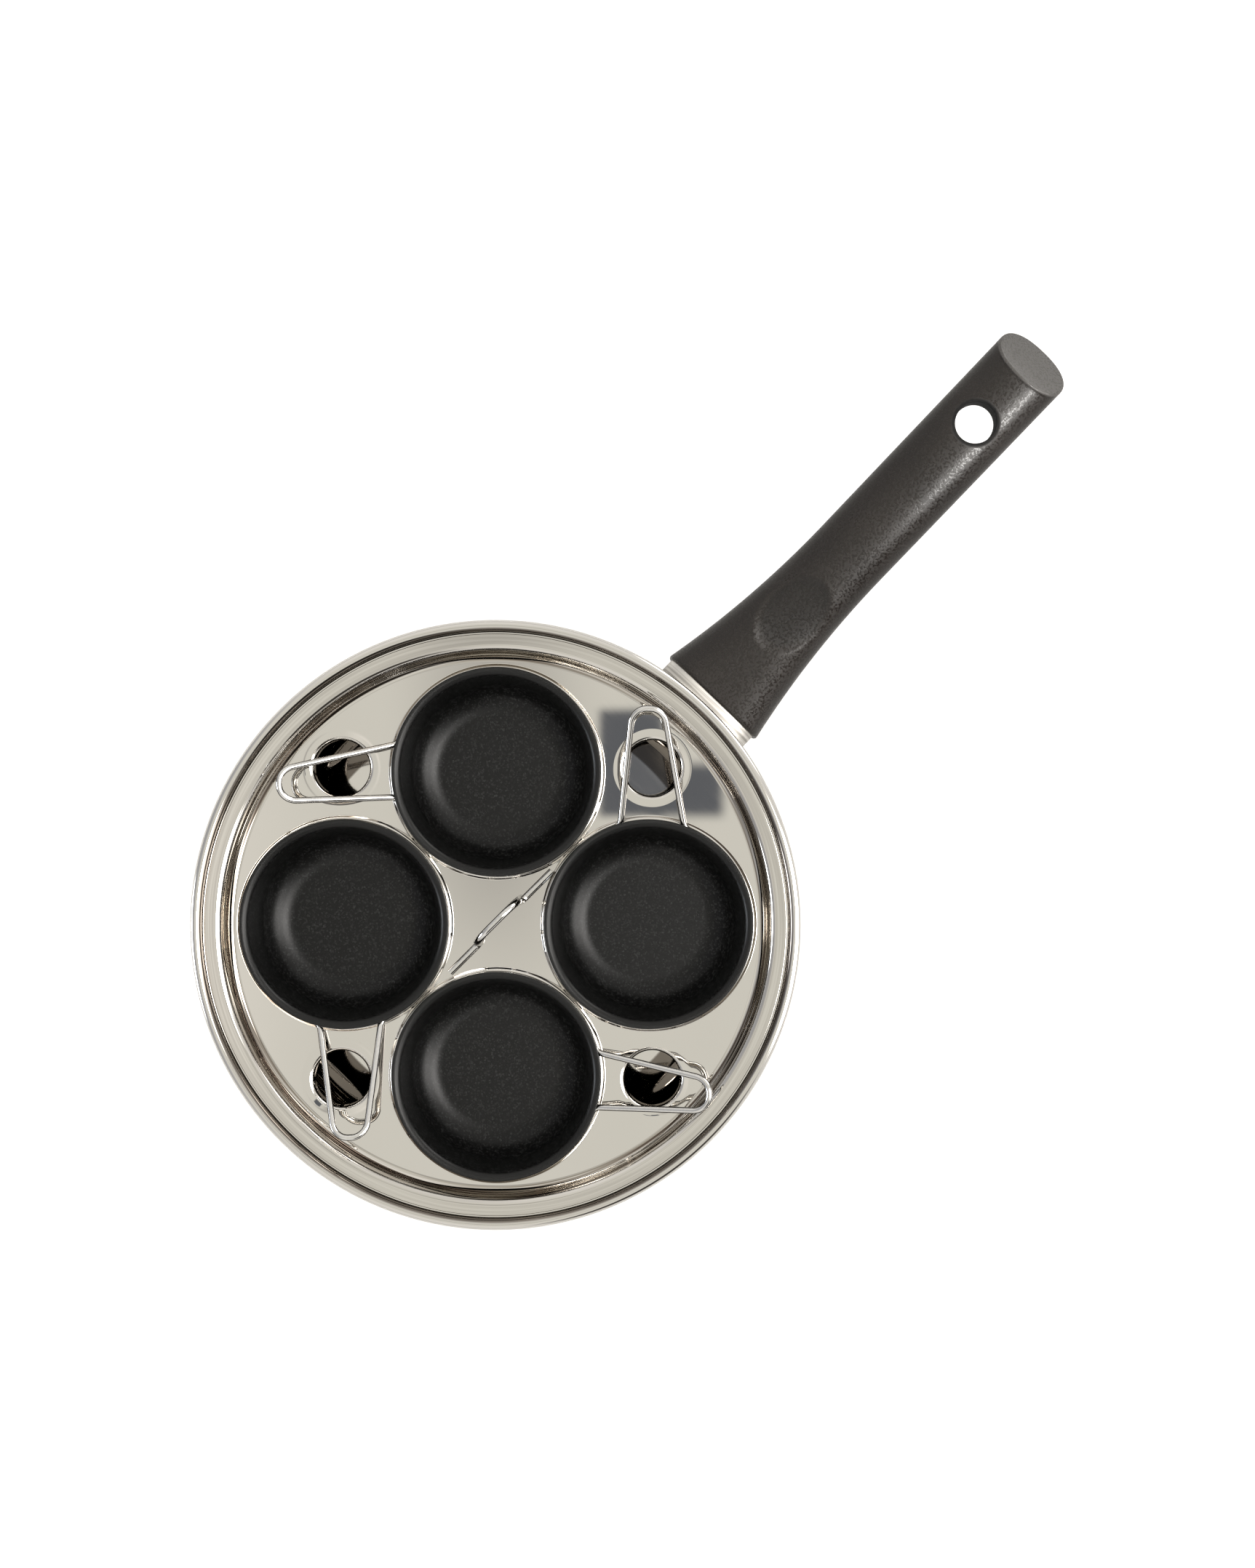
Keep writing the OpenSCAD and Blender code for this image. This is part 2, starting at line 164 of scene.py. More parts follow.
# Roughness of the finishes, and colours of the metals
PAN_ROUGH = 0.045
TRAY_ROUGH = 0.022
GUARD_ROUGH = 0.46
BASE_ROUGH = 0.3
WIRE_ROUGH = 0.12
COATING_ROUGH = 0.36
PLATED_ROUGH = 0.3
ALUMINIUM_ROUGH = 0.28
STEEL_COLOUR = (0.80, 0.775, 0.735)
PLATED_COLOUR = (0.62, 0.61, 0.60)
ALUMINIUM_COLOUR = (0.80, 0.81, 0.82)
# Painted shade in the pan: radii of its band on the floor, and the height below which it lies
PAINTED_SHADE_RADII = (77.0, 77.6, 95.0, 96.0)
PAINTED_SHADE_BELOW = 0.03
# Radii of the painted reflection streaks on the tray's step
PAINTED_REFLECTION_RADII = (92.4, 93.2, 96.0, 96.8)
BLACK = (0, 0, 0)
WHITE = (1, 1, 1)

# Floor, studio walls by height, and the lamp that lights the grip alone
FLOOR_REACH = 6.0
FLOOR_TONE = (0.88, 0.88, 0.88)
FLOOR_GLOW_SEEN = 0.15
FLOOR_GLOW_CAMERA = 0.48
CEILING = (0.74, 0.725, 0.665)
WALL = (0.84, 0.82, 0.78)
STUDIO_STOPS = ((0.0, (0.9, 0.9, 0.9)), (0.04, (0.7, 0.69, 0.68)), (0.12, (0.6, 0.58, 0.55)),
                (0.40, WALL), (0.80, WALL), (0.92, CEILING), (1.0, CEILING))
CEILING_FROM = 0.5
LAMP_WAY = (-48, 59)
LAMP_AIM = (0.235, 0, 0.064)
LAMP_FAR = 0.35
LAMP_SIZE = 0.07
LAMP_POWER = 0.62
LAMP_COLOUR = (1.0, 0.98, 0.95)

# Soft boxes (azimuth from the photograph's right, elevation, inner and outer angle, colour)
SOFT_BOXES = (
    (180, 25, 20, 50, (0.42, 0.42, 0.43)),
    (-62, 38, 13, 24, (0.05, 0.045, 0.04)),
    (188, 7, 7, 14, (11.0, 11.7, 12.6)),
    (46, 6, 8, 20, (6.0, 5.9, 5.7)),
    (-8, 62, 7, 14, (15.5, 15.1, 14.6)),
    (-8, 32, 9, 22, (7.5, 7.35, 7.1)),
)
# Patches of the ceiling (place, half size and soft edge across and up, as tangents; colour)
CEILING_PATCHES = (
    ((-0.24, -0.08), (0.05, 0.12), (0.05, 0.10), (0.88, 0.85, 0.79)),
    ((-0.065, 0.01), (0.030, 0.075), (0.030, 0.060), (0.47, 0.455, 0.425)),
    ((0.0020, 0.0105), (0.0160, 0.0265), (0.003, 0.003), (0.128, 0.135, 0.150)),
    ((0.0290, -0.0030), (0.0185, 0.0130), (0.004, 0.004), (0.128, 0.135, 0.150)),
)

# Smoothness of the visual meshes
TURN_STEPS = 288
HOLE_STEPS = 144
CUP_STEPS = 192
GRIP_SIDES = 96
GRIP_STATIONS = 190
CUT_SIDES = 96
GUARD_SIDES = 160
GUARD_STEPS = 6
BEND_STEP = math.radians(5)


# Skins: vertices, their true normals and faces, in millimetres


def round_angles(count):
    """Angles evenly spread round a circle."""
    return [2 * math.pi * j / count for j in range(count)]


def ring_faces(rings, sides):
    """Faces between neighbouring rings of vertices."""
    faces = []
    for i in range(rings - 1):
        for j in range(sides):
            k = (j + 1) % sides
            faces.append((i * sides + j, i * sides + k, (i + 1) * sides + k, (i + 1) * sides + j))
    return faces


def add_object(name, data):
    """Object with the given data, placed in the scene."""
    obj = bpy.data.objects.new(name, data)
    bpy.context.scene.collection.objects.link(obj)
    return obj


def new_mesh(name, verts, faces):
    """Mesh from vertices in metres."""
    mesh = bpy.data.meshes.new(name)
    mesh.from_pydata(verts, [], faces)
    mesh.update()
    return mesh


class Skin:
    """Vertices with their normals, and faces, before they become a mesh."""

    def __init__(self, verts=(), normals=(), faces=()):
        self.verts = np.array(verts, dtype=float).reshape(-1, 3)
        self.normals = np.array(normals, dtype=float).reshape(-1, 3)
        self.faces = [tuple(f) for f in faces]

    def moved(self, matrix):
        """The same skin after a rigid move."""
        m = np.array(matrix)
        return Skin(self.verts @ m[:3, :3].T + m[:3, 3], self.normals @ m[:3, :3].T, self.faces)

    def joined(self, other):
        """This skin and another as one."""
        shift = len(self.verts)
        faces = self.faces + [tuple(i + shift for i in f) for f in other.faces]
        verts = np.vstack([self.verts, other.verts])
        return Skin(verts, np.vstack([self.normals, other.normals]), faces)


def outward(skin):
    """Faces turned so that each agrees with its vertices' normals."""
    kept = []
    for face in skin.faces:
        a, b, c = (skin.verts[i] for i in face[:3])
        flat = np.cross(b - a, c - b)
        mean = sum(skin.normals[i] for i in face)
        kept.append(face if flat @ mean >= 0 else tuple(reversed(face)))
    return Skin(skin.verts, skin.normals, kept)


def piece(name, skin, material, body, node=None):
    """Makes a skin into an object that rides on a body and may stand for a node."""
    skin = outward(skin)
    mesh = bpy.data.meshes.new(name)
    mesh.from_pydata([tuple(v) for v in skin.verts * MM], [], skin.faces)
    mesh.polygons.foreach_set("use_smooth", [True] * len(mesh.polygons))
    mesh.update()
    lengths = np.linalg.norm(skin.normals, axis=1, keepdims=True)
    mesh.normals_split_custom_set_from_vertices([tuple(n) for n in skin.normals / lengths])
    mesh.materials.append(material)
    obj = add_object(name, mesh)
    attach(obj, body)
    if node:
        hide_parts(node)
    return obj


# Profiles: samples (x, z, nx, nz) along a sheet's middle line


def unit(v):
    """A vector at length one."""
    v = np.array(v, dtype=float)
    return v / np.linalg.norm(v)


def bent(points, radii):
    """A line through points, bent to a radius at each, with its left-hand normals."""
    p = [np.array(q, dtype=float) for q in points]
    last = len(p) - 1
    out = []
    for i, q in enumerate(p):
        if radii[i] == 0:
            along = unit(p[1] - p[0]) if i == 0 else unit(p[i] - p[i - 1])
            out.append((q[0], q[1], -along[1], along[0]))
            if 0 < i < last:
                ahead = unit(p[i + 1] - p[i])
                out.append((q[0], q[1], -ahead[1], ahead[0]))
            continue
        a, b = unit(p[i - 1] - q), unit(p[i + 1] - q)
        half = math.acos(np.clip(a @ b, -1, 1)) / 2
        centre = q + unit(a + b) * radii[i] / math.sin(half)
        start = q + a * radii[i] / math.tan(half) - centre
        end = q + b * radii[i] / math.tan(half) - centre
        turn = math.atan2(start[0] * end[1] - start[1] * end[0], start @ end)
        steps = max(3, math.ceil(abs(turn) / BEND_STEP))
        side = -1 if turn > 0 else 1
        for k in range(steps + 1):
            t = turn * k / steps
            spoke = np.array([start[0] * math.cos(t) - start[1] * math.sin(t),
                              start[0] * math.sin(t) + start[1] * math.cos(t)])
            n = unit(spoke) * side
            out.append((*(centre + spoke), *n))
    return out


def arc(centre, radius, start, end):
    """Samples along a bend about a centre, angles in degrees, with left-hand normals."""
    steps = max(3, math.ceil(math.radians(abs(end - start)) / BEND_STEP))
    side = -1 if end > start else 1
    out = []
    for k in range(steps + 1):
        a = math.radians(start + (end - start) * k / steps)
        n = (math.cos(a), math.sin(a))
        out.append((centre[0] + radius * n[0], centre[1] + radius * n[1], side * n[0], side * n[1]))
    return out


def sheet(line, thick, open_start=False, open_end=False):
    """Outline of a sheet about its middle line, with a rounded edge where an end isn't open."""
    half = thick / 2
    left = [(x + nx * half, z + nz * half, nx, nz) for x, z, nx, nz in line]
    right = [(x - nx * half, z - nz * half, -nx, -nz) for x, z, nx, nz in reversed(line)]

    def cap(sample, ahead):
        """Half round from the left side to the right side at an end that looks ahead."""
        x, z, nx, nz = sample
        out = []
        for k in range(1, 8):
            a = math.pi * k / 8
            n = np.array([nx, nz]) * math.cos(a) + np.array(ahead) * math.sin(a)
            out.append((x + n[0] * half, z + n[1] * half, n[0], n[1]))
        return out

    outline = list(left)
    if not open_end:
        _, _, nx, nz = line[-1]
        outline += cap(line[-1], (nz, -nx))
    runs = [outline + right] if not open_end else [left, right]
    if not open_start:
        x, z, nx, nz = line[0]
        closing = cap((x, z, -nx, -nz), (-nz, nx))
        runs[-1] = runs[-1] + closing + [runs[0][0]]
    return runs


def spin(runs, steps=TURN_STEPS):
    """Skin of outlines turned round the axis."""
    skin = Skin()
    angles = round_angles(steps)
    for run in runs:
        verts, normals, rings, faces = [], [], [], []
        for x, z, nx, nz in run:
            if x < 1e-6:
                rings.append([len(verts)] * steps)
                verts.append((0, 0, z))
                normals.append((0, 0, nz))
                continue
            rings.append([len(verts) + j for j in range(steps)])
            verts += [(x * math.cos(a), x * math.sin(a), z) for a in angles]
            normals += [(nx * math.cos(a), nx * math.sin(a), nz) for a in angles]
        for i in range(len(run) - 1):
            if math.hypot(run[i][0] - run[i + 1][0], run[i][1] - run[i + 1][1]) < 1e-6:
                continue
            if run[i][0] < 1e-6 and run[i + 1][0] < 1e-6:
                continue
            for j in range(steps):
                k = (j + 1) % steps
                loop = (rings[i][j], rings[i + 1][j], rings[i + 1][k], rings[i][k])
                faces.append(tuple(dict.fromkeys(loop)))
        skin = skin.joined(Skin(verts, normals, faces))
    return skin


def plate(z, up, outer_r, holes, steps=TURN_STEPS):
    """Flat disc at height z that faces up or down, with round holes (x, y, r)."""
    coords, edges = [], []
    for x, y, r, n in [(0, 0, outer_r, steps)] + [(*h, HOLE_STEPS) for h in holes]:
        first = len(coords)
        coords += [Vector((x + r * math.cos(a), y + r * math.sin(a))) for a in round_angles(n)]
        edges += [(first + j, first + (j + 1) % n) for j in range(n)]
    found, _, faces, *_ = delaunay_2d_cdt(coords, edges, [], 0, 1e-7)
    kept = []
    for face in faces:
        cx, cy = (sum(found[i][k] for i in face) / len(face) for k in (0, 1))
        inside = math.hypot(cx, cy) < outer_r
        if inside and all(math.hypot(cx - x, cy - y) > r * 0.9999 for x, y, r in holes):
            kept.append(tuple(face))
    verts = [(q[0], q[1], z) for q in found]
    return Skin(verts, [(0, 0, up)] * len(verts), kept)


def tube(points, radius, up, closed=False, sides=24):
    """Round wire along points, where up is never along the wire."""
    p = np.array(points, dtype=float)
    n = len(p)
    if closed:
        along = np.roll(p, -1, axis=0) - np.roll(p, 1, axis=0)
    else:
        along = np.vstack([p[1] - p[0], p[2:] - p[:-2], p[-1] - p[-2]])
    verts, normals, faces = [], [], []
    for i in range(n):
        t = unit(along[i])
        a = unit(np.cross(up, t))
        b = np.cross(t, a)
        for angle in round_angles(sides):
            spoke = a * math.cos(angle) + b * math.sin(angle)
            verts.append(p[i] + radius * spoke)
            normals.append(spoke)
    for i in range(n if closed else n - 1):
        for j in range(sides):
            k = (j + 1) % sides
            near, far = i * sides, (i + 1) % n * sides
            faces.append((near + j, far + j, far + k, near + k))
    skin = Skin(verts, normals, faces)
    if closed:
        return skin
    for end, ring in ((-1, 0), (1, n - 1)):
        t = unit(along[ring]) * end
        disc = [verts[ring * sides + j] for j in range(sides)]
        skin = skin.joined(Skin(disc, [t] * sides, [tuple(range(sides))]))
    return skin


def bezier(a, b, c, steps=8):
    """Points between a and c on a smooth corner drawn towards b."""
    a, b, c = (np.array(q, dtype=float) for q in (a, b, c))
    ways = (k / steps for k in range(1, steps))
    return [(1 - t) ** 2 * a + 2 * t * (1 - t) * b + t * t * c for t in ways]


# Materials


def new_material(name):
    """Empty node material with its Principled shader."""
    mat = bpy.data.materials.new(name)
    mat.use_nodes = True
    tree = mat.node_tree
    return mat, tree, tree.nodes["Principled BSDF"]


def feed(tree, target, inputs):
    """Sets or links the inputs of a node."""
    for key, value in inputs.items():
        if isinstance(value, bpy.types.NodeSocket):
            tree.links.new(value, target.inputs[key])
        else:
            target.inputs[key].default_value = value


def node(tree, kind, inputs=None, **settings):
    """Adds a node, sets its properties, and sets or links its inputs."""
    made = tree.nodes.new(kind)
    for key, value in settings.items():
        setattr(made, key, value)
    feed(tree, made, inputs or {})
    return made


def ramp(tree, fac, stops):
    """Colour ramp through (position, colour) stops."""
    made = node(tree, "ShaderNodeValToRGB", {"Fac": fac})
    elements = made.color_ramp.elements
    while len(elements) < len(stops):
        elements.new(0.5)
    for element, (position, colour) in zip(elements, stops):
        element.position = position
        element.color = (*colour, 1)
    return made.outputs["Color"]


def blend(tree, factor, below, above, mode="MIX"):
    """Mixes colours or sockets by a factor."""
    inputs = {key: value if isinstance(value, bpy.types.NodeSocket) else (*value, 1)
              for key, value in (("A", below), ("B", above))}
    inputs["Factor"] = factor
    mixed = node(tree, "ShaderNodeMix", inputs, data_type="RGBA", blend_type=mode)
    return mixed.outputs["Result"]


def calc(tree, operation, a, b=0.0, c=0.0, clamp=False):
    """Math node on up to three values or sockets."""
    inputs = {0: a, 1: b, 2: c}
    return node(tree, "ShaderNodeMath", inputs, operation=operation, use_clamp=clamp).outputs[0]


def vector_calc(tree, operation, a, b=BLACK):
    """Vector math node on two vectors or sockets."""
    made = node(tree, "ShaderNodeVectorMath", {0: a, 1: b}, operation=operation)
    return made.outputs["Value" if operation in ("LENGTH", "DOT_PRODUCT") else "Vector"]


def split(tree, vector):
    """The three parts of a vector."""
    return node(tree, "ShaderNodeSeparateXYZ", {"Vector": vector}).outputs


def object_place(tree):
    """Place in the object's own space, which is the frame's."""
    return node(tree, "ShaderNodeTexCoord").outputs["Object"]


def bump(tree, height, strength, distance, **below):
    """Normal raised by a height, over a distance in millimetres."""
    inputs = {"Height": height, "Strength": strength, "Distance": distance * MM, **below}
    return node(tree, "ShaderNodeBump", inputs).outputs[0]


def noise(tree, scale, detail=2.0, stretch=(1, 1, 1), roughness=0.5):
    """Noise in object space, stretched along the axes."""
    mapped = node(tree, "ShaderNodeMapping", {"Vector": object_place(tree), "Scale": stretch})
    made = node(tree, "ShaderNodeTexNoise", {"Vector": mapped.outputs["Vector"], "Scale": scale,
                                             "Detail": detail, "Roughness": roughness})
    return made.outputs["Fac"]


def about_axis(tree):
    """Distance from the pan's axis in millimetres, the way out, and how far a face looks inward."""
    level = vector_calc(tree, "MULTIPLY", object_place(tree), (1, 1, 0))
    radius = calc(tree, "MULTIPLY", vector_calc(tree, "LENGTH", level), 1000.0)
    spoke = vector_calc(tree, "NORMALIZE", level)
    normal = node(tree, "ShaderNodeNewGeometry").outputs["Normal"]
    outward_part = vector_calc(tree, "DOT_PRODUCT", spoke, normal)
    return radius, spoke, calc(tree, "MULTIPLY", outward_part, -1.0)


def pan_painted_shade(tree):
    """Where and how painted shade lies on the pan's inside corner, wall and rim."""
    radius, _, inward = about_axis(tree)
    # Painted shade on faces that look inward, and on the floor's outer corner below a height
    walls = ramp(tree, inward, [(0.25, BLACK), (0.55, WHITE)])
    corner = ramp(tree, calc(tree, "MULTIPLY", radius, 0.01),
                  [(r / 100, tone) for r, tone in zip(PAINTED_SHADE_RADII, (BLACK, WHITE, WHITE, BLACK))])
    low = calc(tree, "LESS_THAN", split(tree, object_place(tree))["Z"], PAINTED_SHADE_BELOW)
    where = calc(tree, "MAXIMUM", walls, calc(tree, "MULTIPLY", corner, low))
    # Dark brown tones of the painted shade
    shade = ramp(tree, noise(tree, 22, 3), [(0.3, (0.10, 0.085, 0.072)), (0.7, (0.26, 0.23, 0.20))])
    return where, shade


def tray_painted_reflection(tree):
    """Where and how painted reflection lies on the tray's drawn step, as dark and pale streaks."""
    radius, spoke, _ = about_axis(tree)
    scaled = calc(tree, "MULTIPLY", calc(tree, "SUBTRACT", radius, 90.0), 0.1)
    amounts = (BLACK, WHITE, WHITE, (0.22, 0.22, 0.22))
    where = ramp(tree, scaled, [((r - 90) / 10, share) for r, share in zip(PAINTED_REFLECTION_RADII, amounts)])
    around = split(tree, spoke)
    parts = {"X": calc(tree, "MULTIPLY", around[0], 1.4),
             "Y": calc(tree, "MULTIPLY", around[1], 1.4), "Z": calc(tree, "MULTIPLY", radius, 1.3)}
    along = node(tree, "ShaderNodeCombineXYZ", parts).outputs[0]
    streaks = node(tree, "ShaderNodeTexNoise", {"Vector": along, "Scale": 1.0, "Detail": 2.0})
    # Tones of the painted reflection, from dark brown to pale
    tones = [(0.36, (0.13, 0.10, 0.08)), (0.5, (0.40, 0.36, 0.31)), (0.62, (0.80, 0.77, 0.72))]
    return where, ramp(tree, streaks.outputs["Fac"], tones)


def polished_steel(name, colour, rough, painted_light, wave=0.004):
    """Mirror-polished sheet: faint buffing cloud, fine scratches and a slightly wavy pressing."""
    mat, tree, shader = new_material(name)
    hairs = noise(tree, 900, 2, (1, 0.06, 1))
    tone = ramp(tree, noise(tree, 22, 3), [(0.3, [c * 0.975 for c in colour]), (0.7, colour)])
    # The given function lays painted light: painted shade in the pan, painted reflection streaks on
    # the tray
    where, shade = painted_light(tree)
    dents = bump(tree, noise(tree, 45, 1), 0.5, wave)
    feed(tree, shader, {
        "Base Color": blend(tree, where, tone, shade), "Metallic": 1.0,
        "Roughness": calc(tree, "MULTIPLY_ADD", hairs, rough * 0.9, rough * 0.55),
        "Normal": bump(tree, hairs, 0.12, 0.0006, Normal=dents)})
    return mat


def brushed_steel(name):
    """Satin sheet with fine lines brushed across the handle."""
    mat, tree, shader = new_material(name)
    lines = noise(tree, 900, 2, (1, 0.02, 0.02))
    tone = ramp(tree, lines, [(0.38, (0.40, 0.38, 0.35)), (0.62, (0.80, 0.775, 0.735))])
    feed(tree, shader, {"Base Color": tone, "Metallic": 1.0, "Roughness": GUARD_ROUGH,
                        "Normal": bump(tree, lines, 0.3, 0.01)})
    return mat


def turned_steel(name):
    """Satin steel with fine turned rings, for the underside of the base."""
    mat, tree, shader = new_material(name)
    place = split(tree, object_place(tree))
    squares = [calc(tree, "MULTIPLY", place[k], place[k]) for k in (0, 1)]
    radius = calc(tree, "SQRT", calc(tree, "ADD", *squares))
    line = node(tree, "ShaderNodeCombineXYZ", {"X": radius}).outputs[0]
    rings = node(tree, "ShaderNodeTexNoise", {"Vector": line, "Scale": 1800.0, "Detail": 3.0})
    rings = rings.outputs["Fac"]
    tone = ramp(tree, rings, [(0.3, (0.48, 0.47, 0.45)), (0.7, (0.66, 0.645, 0.62))])
    feed(tree, shader, {"Base Color": tone, "Metallic": 1.0, "Roughness": BASE_ROUGH,
                        "Normal": bump(tree, rings, 0.35, 0.02)})
    return mat


def bright_wire(name):
    """Drawn bright wire with faint lines, and a painted dark reflection towards its edges."""
    mat, tree, shader = new_material(name)
    lines = noise(tree, 1400, 2)
    tone = ramp(tree, lines, [(0.3, (0.76, 0.745, 0.72)), (0.7, (0.84, 0.83, 0.81))])
    # Painted dark reflection: the colour darkens where the wire's surface turns away from the view
    facing = node(tree, "ShaderNodeLayerWeight", {"Blend": 0.5}).outputs["Facing"]
    edge = ramp(tree, facing, [(0.26, WHITE), (0.44, (0.10, 0.09, 0.08))])
    feed(tree, shader, {"Base Color": blend(tree, 1.0, tone, edge, "MULTIPLY"), "Metallic": 1.0,
                        "Roughness": WIRE_ROUGH, "Normal": bump(tree, lines, 0.05, 0.002)})
    return mat


def speckled_coating(name):
    """Matt black non-stick coating with fine pale specks, plain and smoothed by wear on the lip."""
    mat, tree, shader = new_material(name)
    grain = noise(tree, 2600, 2)
    cells = node(tree, "ShaderNodeTexVoronoi", {"Vector": object_place(tree), "Scale": 1900.0})
    fleck = ramp(tree, cells.outputs["Color"], [(0.60, BLACK), (0.96, WHITE)])
    base = ramp(tree, grain, [(0.35, (0.002, 0.002, 0.002)), (0.68, (0.006, 0.006, 0.006))])
    speckled = blend(tree, fleck, base, (0.044, 0.045, 0.045))
    height = split(tree, object_place(tree))["Z"]
    above = calc(tree, "MULTIPLY", calc(tree, "SUBTRACT", height, LIP_Z * MM), 100.0)
    lip = ramp(tree, calc(tree, "ADD", above, 0.5), [(0.34, BLACK), (0.42, WHITE)])
    feed(tree, shader, {"Base Color": blend(tree, lip, speckled, (0.013, 0.013, 0.013)),
                        "Roughness": COATING_ROUGH, "Specular IOR Level": 0.3,
                        "Normal": bump(tree, grain, 0.45, 0.03)})
    return mat


def grained_resin(name):
    """Moulded brown-black resin with fine grain, with painted shade and painted light."""
    mat, tree, shader = new_material(name)
    grain = ramp(tree, noise(tree, 1300, 2), [(0.32, BLACK), (0.68, WHITE)])
    base = ramp(tree, noise(tree, 30, 2),
                [(0.3, (0.0120, 0.0092, 0.0077)), (0.7, (0.0190, 0.0150, 0.0126))])
    place = object_place(tree)

    # Painted shade: the thumb recess darker than the rest of the grip
    off = vector_calc(tree, "SUBTRACT", place, ((ROOT_X + THUMB_U) * MM, 0, 0))
    off = vector_calc(tree, "MULTIPLY", off, (2 / THUMB_SIZE[0] / MM, 2 / THUMB_SIZE[1] / MM, 0))
    thumb = ramp(tree, vector_calc(tree, "LENGTH", off), [(0.82, WHITE), (0.97, BLACK)])
    dark = blend(tree, 1.0, base, (0.6, 0.6, 0.6), "MULTIPLY")
    painted_tone = blend(tree, thumb, base, dark)

    # Painted light: the cut end face paler than the rest of the grip
    cut = (math.sin(math.radians(END_CUT)), 0, math.cos(math.radians(END_CUT)))
    tip = ((ROOT_X + HANDLE_LEN) * MM, 0, handle_z(HANDLE_LEN) * MM)
    past = vector_calc(tree, "DOT_PRODUCT", vector_calc(tree, "SUBTRACT", place, tip), cut)
    end = ramp(tree, calc(tree, "MULTIPLY_ADD", past, 500.0, 0.5), [(0.02, BLACK), (0.2, WHITE)])
    painted_tone = blend(tree, end, painted_tone, (0.085, 0.080, 0.076))

    # Painted shade: the hanging hole's inside near black, and rough
    centre = ((ROOT_X + HOLE_U) * MM, 0, handle_z(HOLE_U) * MM)
    bore = node(tree, "ShaderNodeMapping", {"Vector": place, "Location": centre,
                                            "Rotation": (0, -handle_slope(HOLE_U), 0)},
                vector_type="TEXTURE")
    reach = vector_calc(tree, "LENGTH", vector_calc(tree, "MULTIPLY", bore.outputs[0], (1, 1, 0)))
    inside = ramp(tree, calc(tree, "MULTIPLY", reach, 100.0), [(0.78, WHITE), (0.86, BLACK)])

    spread = ramp(tree, grain, [(0.3, (0.24, 0.24, 0.24)), (0.7, (0.42, 0.42, 0.42))])
    feed(tree, shader, {"Base Color": blend(tree, inside, painted_tone, (0.003, 0.0025, 0.002)),
                        "Roughness": blend(tree, inside, spread, (0.9, 0.9, 0.9)),
                        "Specular IOR Level": 0.5, "Normal": bump(tree, grain, 0.5, 0.045)})
    return mat


def plain_metal(name, colour, rough):
    """Plated or rolled metal with a mottled finish, for small hidden parts."""
    mat, tree, shader = new_material(name)
    mottle = noise(tree, 260, 3)
    feed(tree, shader, {
        "Base Color": ramp(tree, mottle, [(0.3, [c * 0.85 for c in colour]), (0.7, colour)]),
        "Metallic": 1.0,
        "Roughness": ramp(tree, mottle, [(0.3, [rough] * 3), (0.7, [rough + 0.12] * 3)])})
    return mat


# Pan


def make_pan():
    """Shell with its ledge and open rolled rim, and the turned base cap."""
    bead_x, bead_z = RIM_R - BEAD_R, PAN_H - BEAD_R
    riser = bead_x - BEAD_R + PAN_T / 2
    mid = FLOOR_Z + PAN_T / 2
    ledge = LEDGE_Z - PAN_T / 2
    line = bent([(0, mid), (WALL_R, mid), (WALL_R, ledge), (riser, ledge), (riser, bead_z)],
                (0, CORNER_R, LEDGE_BEND, RISER_BEND, 0))
    line += arc((bead_x, bead_z), BEAD_R - PAN_T / 2, 180, BEAD_END)[1:]
    shell = spin(sheet(line, PAN_T, open_start=True))
    piece("pan_shell", shell, STEEL, "pan", "pan_body")

    out = CAP_R - CAP_T / 2
    edge = bent([(0, CAP_T / 2), (out, CAP_T / 2), (out, FLOOR_Z)], (0, CAP_BEND, 0))
    dish = spin(sheet(edge, CAP_T, open_start=True, open_end=True))
    piece("base_dish", dish, BASE_STEEL, "pan", "base_cap")


# Tray


def turned_about(angle, x, y, z=0.0):
    """Matrix that puts a thing at (x, y, z) in a frame turned by degrees about the axis."""
    return Matrix.Rotation(math.radians(angle), 4, "Z") @ Matrix.Translation((x, y, z))


def meeting(skin, line):
    """A cup seat cut where it meets its neighbours, half way between the cups."""
    limit = CUP_PITCH / math.sqrt(2)
    verts, normals = skin.verts.copy(), skin.normals.copy()
    run = sorted((x, z, nx, nz) for x, z, nx, nz in line if x > SEAT_MEETS_FROM)
    radii, levels, slopes, rises = (np.array([q[k] for q in run]) for k in range(4))
    for i, (x, y, z) in enumerate(skin.verts):
        radius, angle = math.hypot(x, y), math.atan2(y, x)
        past = math.cos(abs(math.pi - abs(angle)) - math.pi / 4) * radius / limit
        if past <= 1 or abs(angle) < math.pi / 2:
            continue
        side = 1 if normals[i, 2] > 0 else -1
        cut = radius / past
        tilt, rise = (np.interp(cut, radii, q) for q in (slopes, rises))
        level = np.interp(cut, radii, levels) + side * TRAY_T / 2 / rise
        verts[i] = (cut * math.cos(angle), cut * math.sin(angle), level)
        lean = side * tilt
        normals[i] = unit((lean * math.cos(angle), lean * math.sin(angle), side * rise))
    return Skin(verts, normals, skin.faces)


